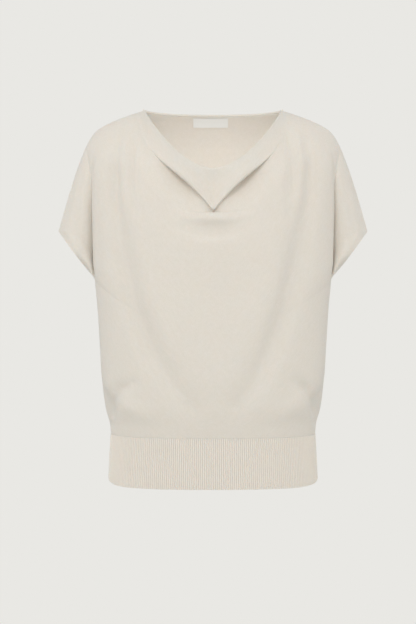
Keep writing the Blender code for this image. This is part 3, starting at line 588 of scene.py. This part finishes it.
print("waistband")
bandFront = makeWaistband("waistbandFront", "front")
bandBack = makeWaistband("waistbandBack", "back")


# Back neck finish and label
neckFinish = {"height": 3.4, "thick": 3.0, "lift": 1.9, "sectionPoints": 14}
labelSize = {"width": 56.0, "height": 13.0, "drop": 1.2, "offset": -3.5, "wall": 0.6, "lift": 0.1,
             "columns": 60, "rows": 15, "curl": 0.125, "curlTurns": 9.0, "backRows": 24}


def tube(line, up, out, size):
    # A closed rounded tube along a line of points, its section's height along up and its thickness along out
    height, thick, count = size["height"], size["thick"], size["sectionPoints"]
    angles = np.arange(count) / count * 2 * math.pi
    rows = [line + up * height / 2 * math.cos(a) + out * thick / 2 * math.sin(a) for a in angles]
    grid = np.stack(rows)
    columns = grid.shape[1]
    faces = []
    for i in range(count):
        k = (i + 1) % count
        for j in range(columns - 1):
            faces.append((i * columns + j + 1, k * columns + j + 1, k * columns + j, i * columns + j))
    faces.append(tuple(i * columns for i in range(count)))
    faces.append(tuple(i * columns + columns - 1 for i in reversed(range(count))))
    length = np.concatenate([[0], np.cumsum(np.linalg.norm(np.diff(line, axis=0), axis=1))])
    u = np.broadcast_to(length[None, :], (count, columns))
    v = np.broadcast_to((angles * (height + thick) / 4)[:, None], (count, columns))
    return grid, faces, np.stack([u, v], axis=2)


def makeNeckFinish():
    line = backPoints[0, 1:-1] + np.array([0.0, 0.0, neckFinish["lift"]])
    out = backNormals[0, 1:-1].copy()
    out[:, 2] = 0.0
    out = out / np.linalg.norm(out, axis=1, keepdims=True)
    up = np.broadcast_to(np.array([0.0, 0.0, 1.0]), out.shape)
    grid, faces, uv = tube(line, up, out, neckFinish)
    piece = addPiece("backNeckFinish", grid, faces, uv)
    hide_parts("back_neck_trim")
    return piece


def makeLabel():
    middle = backPoints.shape[1] // 2
    top = backPoints[0, middle, 2] - labelSize["drop"]
    backRows = labelSize["backRows"]
    rows, normals = [], []
    for drop in np.linspace(0, 1, labelSize["rows"]):
        z = top - labelSize["height"] * drop
        rowPoints, rowNormals = [], []
        for share in np.linspace(-0.5, 0.5, labelSize["columns"]):
            x = labelSize["offset"] + labelSize["width"] * share
            station = []
            for line, lineNormals in zip(backPoints[:backRows], backNormals[:backRows]):
                place = np.interp(x, line[:, 0], np.arange(len(line)))
                low = int(place)
                part = place - low
                point = line[low] * (1 - part) + line[low + 1] * part
                normal = lineNormals[low] * (1 - part) + lineNormals[low + 1] * part
                station.append(np.concatenate([point, normal]))
            station = np.array(station)[::-1]
            rowPoints.append([x, np.interp(z, station[:, 2], station[:, 1]), z])
            rowNormals.append([np.interp(z, station[:, 2], station[:, 3 + k]) for k in range(3)])
        rows.append(rowPoints)
        normals.append(rowNormals)
    grid, normals = np.array(rows), np.array(normals)
    normals = normals / np.linalg.norm(normals, axis=2, keepdims=True)
    u = np.linspace(0, labelSize["width"], labelSize["columns"])
    v = np.linspace(0, -labelSize["height"], labelSize["rows"])
    # Sewn along its top edge, so the lower edge curls a little
    curl = labelSize["curl"] * np.sin(u / labelSize["width"] * labelSize["curlTurns"])[None, :]
    lift = labelSize["lift"] + curl * (-v / labelSize["height"])[:, None] ** 2
    near = grid - normals * (cloth["wall"] / 2 + cloth["seamGap"] + lift)[:, :, None]
    far = near - normals * labelSize["wall"]
    faces = wallFaces(labelSize["rows"], labelSize["columns"], False)
    uv = np.stack(np.meshgrid(u, v), axis=2)
    piece = addPiece("neckLabel", np.stack([near, far]), faces, np.stack([uv, uv]))
    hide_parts("label")
    return piece


print("neck finish and label")
backNeckFinish = makeNeckFinish()
neckLabel = makeLabel()


def linear(hexColour):
    # An sRGB hex colour as linear values
    parts = [int(hexColour[k:k + 2], 16) / 255 for k in (1, 3, 5)]
    return tuple(p / 12.92 if p <= 0.04045 else ((p + 0.055) / 1.055) ** 2.4 for p in parts) + (1.0,)


def addNode(tree, kind, settings=None, inputs=None):
    # Adds a node; an input, given by name or number, is a value or another node's output
    node = tree.nodes.new(kind)
    for key, value in (settings or {}).items():
        setattr(node, key, value)
    for key, value in (inputs or {}).items():
        if isinstance(value, bpy.types.NodeSocket):
            tree.links.new(value, node.inputs[key])
        else:
            node.inputs[key].default_value = value
    return node


def newMaterial(name, surface):
    # A material with its Principled shader's plain values set, and its node tree and shader
    made = bpy.data.materials.new(name)
    made.use_nodes = True
    shader = made.node_tree.nodes["Principled BSDF"]
    for key, value in surface.items():
        shader.inputs[key].default_value = value
    return made, made.node_tree, shader


# Yarn scatters light in its fibres, so the knit is matt with a soft edge and no gleam
knitSurface = {
    "Roughness": 0.86, "Specular IOR Level": 0.22, "Sheen Roughness": 0.45,
    "Subsurface Weight": 0.5, "Subsurface Radius": (1.0, 0.8, 0.65), "Subsurface Scale": 2.5 * mm,
}
# Stitches are drawn coarser than a real fine gauge's, which would be lost between two pixels
fineKnitLook = {
    "light": "#E6E1DA", "dark": "#E0DBD2", "wale": 1.9, "course": 1.35, "depth": 0.35, "sheen": 0.12,
    "ribFurrowPaintedShade": 0.0,
}
# Each look's last value darkens the colour between two ribs as painted shade; the fine knit has none
ribKnitLook = {
    "light": "#ECE7DF", "dark": "#E7E1D9", "wale": 1.535, "course": 1.4, "depth": 0.25, "sheen": 0.1,
    "ribFurrowPaintedShade": 0.10,
}
# Its last two values set the painted shade between two loops, which darkens the knit's colour
stitchLook = {"lean": 1.5, "strand": 0.35, "fuzz": 0.5, "bump": 0.55, "paintedLoopShade": 0.10, "base": 0.92}
fuzzLook = {"Scale": 1400.0, "Detail": 3.0, "Roughness": 0.6}
fleckLook = {"Scale": 900.0, "Detail": 4.0, "Roughness": 0.7}
cloudLook = {"Scale": 140.0, "Detail": 2.0, "Roughness": 0.5}
melange = {"along": (1.0, 0.35, 1.0), "fleckShare": 0.7, "low": 0.36, "high": 0.64}


def knitMaterial(name, look):
    made, tree, shader = newMaterial(name, {**knitSurface, "Sheen Weight": look["sheen"]})
    yarn = addNode(tree, "ShaderNodeUVMap", {"uv_map": "yarnMap"}).outputs["UV"]
    split = addNode(tree, "ShaderNodeSeparateXYZ", None, {0: yarn})

    def maths(operation, *values):
        return addNode(tree, "ShaderNodeMath", {"operation": operation}, dict(enumerate(values))).outputs[0]

    def mix(blend, factor, first, second):
        settings = {"data_type": "RGBA", "blend_type": blend}
        return addNode(tree, "ShaderNodeMix", settings, {0: factor, 6: first, 7: second}).outputs[2]

    wale = maths("MULTIPLY", split.outputs[0], 1 / (look["wale"] * mm))
    course = maths("MULTIPLY", split.outputs[1], 1 / (look["course"] * mm))
    # Each stitch is a V: two legs lean to the middle of the wale, which reads as fine vertical lines
    leg = maths("ABSOLUTE", maths("SUBTRACT", maths("FRACT", wale), 0.5))
    lean = maths("ADD", course, maths("MULTIPLY", leg, stitchLook["lean"]))
    strand = maths("SINE", maths("MULTIPLY", lean, 2 * math.pi))
    legShape = maths("SINE", maths("MULTIPLY", leg, 2 * math.pi))
    rounded = maths("ADD", maths("MULTIPLY", strand, stitchLook["strand"]), 1 - stitchLook["strand"])
    stitch = maths("MULTIPLY", rounded, legShape)
    # Loose fibres break the lines up, so the cloth looks soft up close
    fuzz = addNode(tree, "ShaderNodeTexNoise", None, {"Vector": yarn, **fuzzLook})
    height = maths("ADD", stitch, maths("MULTIPLY", fuzz.outputs["Fac"], stitchLook["fuzz"]))
    bump = addNode(tree, "ShaderNodeBump", None,
                   {"Strength": stitchLook["bump"], "Distance": look["depth"] * mm, "Height": height})
    tree.links.new(bump.outputs["Normal"], shader.inputs["Normal"])

    # Melange: fibres of two shades carded together, so flecks that run along the yarn enliven the colour
    stretch = addNode(tree, "ShaderNodeMapping", None, {"Vector": yarn, "Scale": melange["along"]})
    fleck = addNode(tree, "ShaderNodeTexNoise", None, {"Vector": stretch.outputs[0], **fleckLook})
    cloud = addNode(tree, "ShaderNodeTexNoise", None, {"Vector": yarn, **cloudLook})
    mixed = maths("ADD", maths("MULTIPLY", fleck.outputs["Fac"], melange["fleckShare"]),
                  maths("MULTIPLY", cloud.outputs["Fac"], 1 - melange["fleckShare"]))
    ramp = addNode(tree, "ShaderNodeMapRange", None, {"Value": mixed, 1: melange["low"], 2: melange["high"]})
    colour = mix("MIX", ramp.outputs[0], linear(look["dark"]), linear(look["light"]))
    # Painted shade: the colour is darkened where the stitch dips between two loops, standing in for the light
    # dying there, so the stitches show as a faint grain from a distance too
    deep = maths("MULTIPLY_ADD", stitch, stitchLook["paintedLoopShade"], stitchLook["base"])
    shade = mix("MULTIPLY", 1.0, colour, deep)
    # Painted shade: between two ribs the knit turns inward, and the colour is darkened there, standing in for
    # the shade in the furrow
    phase = maths("MULTIPLY", split.outputs[0], 2 * math.pi / (waistband["ribPitch"] * mm))
    ribFurrowPaintedShade = maths("MULTIPLY_ADD", maths("COSINE", phase), -look["ribFurrowPaintedShade"] / 2, 1 - look["ribFurrowPaintedShade"] / 2)
    tree.links.new(mix("MULTIPLY", 1.0, shade, ribFurrowPaintedShade), shader.inputs["Base Color"])
    return made


# Satin floats its threads on the face, so the label is smoother and whiter than the knit, with a faint gleam
satinSurface = {"Roughness": 0.42, "Sheen Weight": 0.15}
satinLook = {"dark": "#E0E0DD", "light": "#E8E8E6", "threads": 700.0, "waver": 0.4, "bump": 0.3, "depth": 0.1}


def satinMaterial(name):
    made, tree, shader = newMaterial(name, satinSurface)
    yarn = addNode(tree, "ShaderNodeUVMap", {"uv_map": "yarnMap"}).outputs["UV"]
    weave = addNode(tree, "ShaderNodeTexWave", {"wave_type": "BANDS", "bands_direction": "Y"},
                    {"Vector": yarn, "Scale": satinLook["threads"], "Distortion": satinLook["waver"]})
    bump = addNode(tree, "ShaderNodeBump", None,
                   {"Strength": satinLook["bump"], "Distance": satinLook["depth"] * mm,
                    "Height": weave.outputs["Fac"]})
    tree.links.new(bump.outputs["Normal"], shader.inputs["Normal"])
    colour = addNode(tree, "ShaderNodeMix", {"data_type": "RGBA"},
                     {0: weave.outputs["Fac"], 6: linear(satinLook["dark"]), 7: linear(satinLook["light"])})
    tree.links.new(colour.outputs[2], shader.inputs["Base Color"])
    return made


print("materials")
fineKnit = knitMaterial("fine jersey knit, cotton and viscose melange", fineKnitLook)
ribKnit = knitMaterial("one by one rib knit, cotton and viscose melange", ribKnitLook)
satin = satinMaterial("woven polyester satin")
for piece, finish in ((frontCloth, fineKnit), (backCloth, fineKnit), (backNeckFinish, fineKnit),
                      (bandFront, ribKnit), (bandBack, ribKnit), (neckLabel, satin)):
    piece.data.materials.append(finish)

# Floor, light and camera, in metres
studio = {
    "floorRadius": 1.25, "floorHeight": -1.22, "floorSides": 128, "grain": 40.0, "grainDetail": 3.0,
    "floorDark": "#E6E5E1", "floorLight": "#ECEBE7", "floorRoughness": 0.9,
    "background": "#E9E8E4", "airStrength": 0.8,    # the air is seen at full strength and lights at this
}


def makeStudio():
    bpy.ops.object.select_all(action="DESELECT")
    bpy.ops.mesh.primitive_circle_add(vertices=studio["floorSides"], radius=studio["floorRadius"],
                                      fill_type="NGON")
    floor = bpy.context.object
    floor.name = "studioFloor"
    floor.data.transform(Matrix.Translation((0, 0, studio["floorHeight"])))
    # Painted boards, rolled on matt: a slight unevenness and no reflection of the garment
    paint, tree, shader = newMaterial("matt painted floor", {"Roughness": studio["floorRoughness"]})
    place = addNode(tree, "ShaderNodeTexCoord").outputs["Object"]
    grain = addNode(tree, "ShaderNodeTexNoise", None,
                    {"Vector": place, "Scale": studio["grain"], "Detail": studio["grainDetail"]})
    shades = {6: linear(studio["floorDark"]), 7: linear(studio["floorLight"])}
    colour = addNode(tree, "ShaderNodeMix", {"data_type": "RGBA"}, {0: grain.outputs["Fac"], **shades})
    tree.links.new(colour.outputs[2], shader.inputs["Base Color"])
    floor.data.materials.append(paint)
    world = bpy.data.worlds.new("studio air")
    bpy.context.scene.world = world
    world.use_nodes = True
    sky = world.node_tree.nodes["Background"]
    sky.inputs["Color"].default_value = linear(studio["background"])
    seen = addNode(world.node_tree, "ShaderNodeLightPath").outputs["Is Camera Ray"]
    strength = addNode(world.node_tree, "ShaderNodeMapRange", None, {"Value": seen, 3: studio["airStrength"]})
    world.node_tree.links.new(strength.outputs[0], sky.inputs["Strength"])
    bpy.context.scene.view_settings.view_transform = "Standard"


# name, place, aimed at, size, watts. The last lights the inside of the back through the neck.
lamps = [
    ("keyLight", (-0.3, -2.5, 1.1), (0, 0, -0.28), 1.4, 30),
    ("sideLightLeft", (-2.2, -0.9, 0.0), (0, 0, -0.3), 1.4, 6),
    ("sideLightRight", (2.2, -0.9, 0.0), (0, 0, -0.3), 1.4, 7),
    ("insideLight", (0.0, -0.035, -0.215), (0, 0.12, -0.03), 0.13, 0.20),
]


def makeLamps():
    for name, place, aim, size, watts in lamps:
        light = bpy.data.lights.new(name, "AREA")
        light.size = size
        light.energy = watts
        holder = bpy.data.objects.new(name, light)
        bpy.context.scene.collection.objects.link(holder)
        holder.visible_camera = False
        holder.location = place
        holder.rotation_euler = (Vector(aim) - Vector(place)).to_track_quat("-Z", "Y").to_euler()


# The photograph's frame is this high at the garment's middle, seen from this far with a 36 mm sensor
view = {"sensor": 36, "distance": 2.4, "frameHeight": 0.9734, "middle": (-0.0078, -0.3132)}


def makeCamera():
    lens = bpy.data.cameras.new("photoCamera")
    lens.lens = view["sensor"] * view["distance"] / view["frameHeight"]
    holder = bpy.data.objects.new("photoCamera", lens)
    bpy.context.scene.collection.objects.link(holder)
    holder.location = (view["middle"][0], -view["distance"], view["middle"][1])
    holder.rotation_euler = (math.pi / 2, 0, 0)
    bpy.context.scene.camera = holder


print("studio, lamps and camera")
makeStudio()
makeLamps()
makeCamera()
